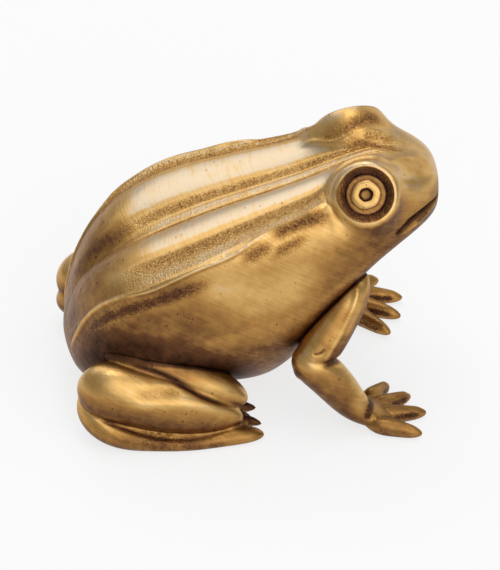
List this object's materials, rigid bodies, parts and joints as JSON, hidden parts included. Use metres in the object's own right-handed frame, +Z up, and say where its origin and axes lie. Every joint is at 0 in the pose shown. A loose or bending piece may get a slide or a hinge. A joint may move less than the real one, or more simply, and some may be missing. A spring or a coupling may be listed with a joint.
{
  "type": "frog figurine",
  "caption": "Antique brass sitting frog ornament with ridged back, round set-in eyes, spread hands and folded hind legs.",
  "frame": {"origin": "centre of the bounding box on the plane that the hands and hind feet stand on", "axes": "+X the way the frog looks, +Y to its left, +Z up"},
  "size_m": [0.1355, 0.1012, 0.0992],
  "materials": {
    "antique_brass": "cast, burnished high points with dark brown patina in the hollows",
    "plate_brass": "flat sheet, filed and dulled",
    "screw_brass": "turned brass screws",
    "screw_steel": "plain steel screws and washers, hidden inside"
  },
  "bodies": {
    "root": {"body_shell": "antique_brass", "belly_plate": "plate_brass", "belly_plate_screws": "screw_brass", "eye_right": "antique_brass", "eye_left": "antique_brass", "front_leg_right": "antique_brass", "front_leg_left": "antique_brass", "hind_leg_right": "antique_brass", "hind_leg_left": "antique_brass", "leg_screws": "screw_steel", "leg_washers": "screw_steel"}
  },
  "joints": []
}
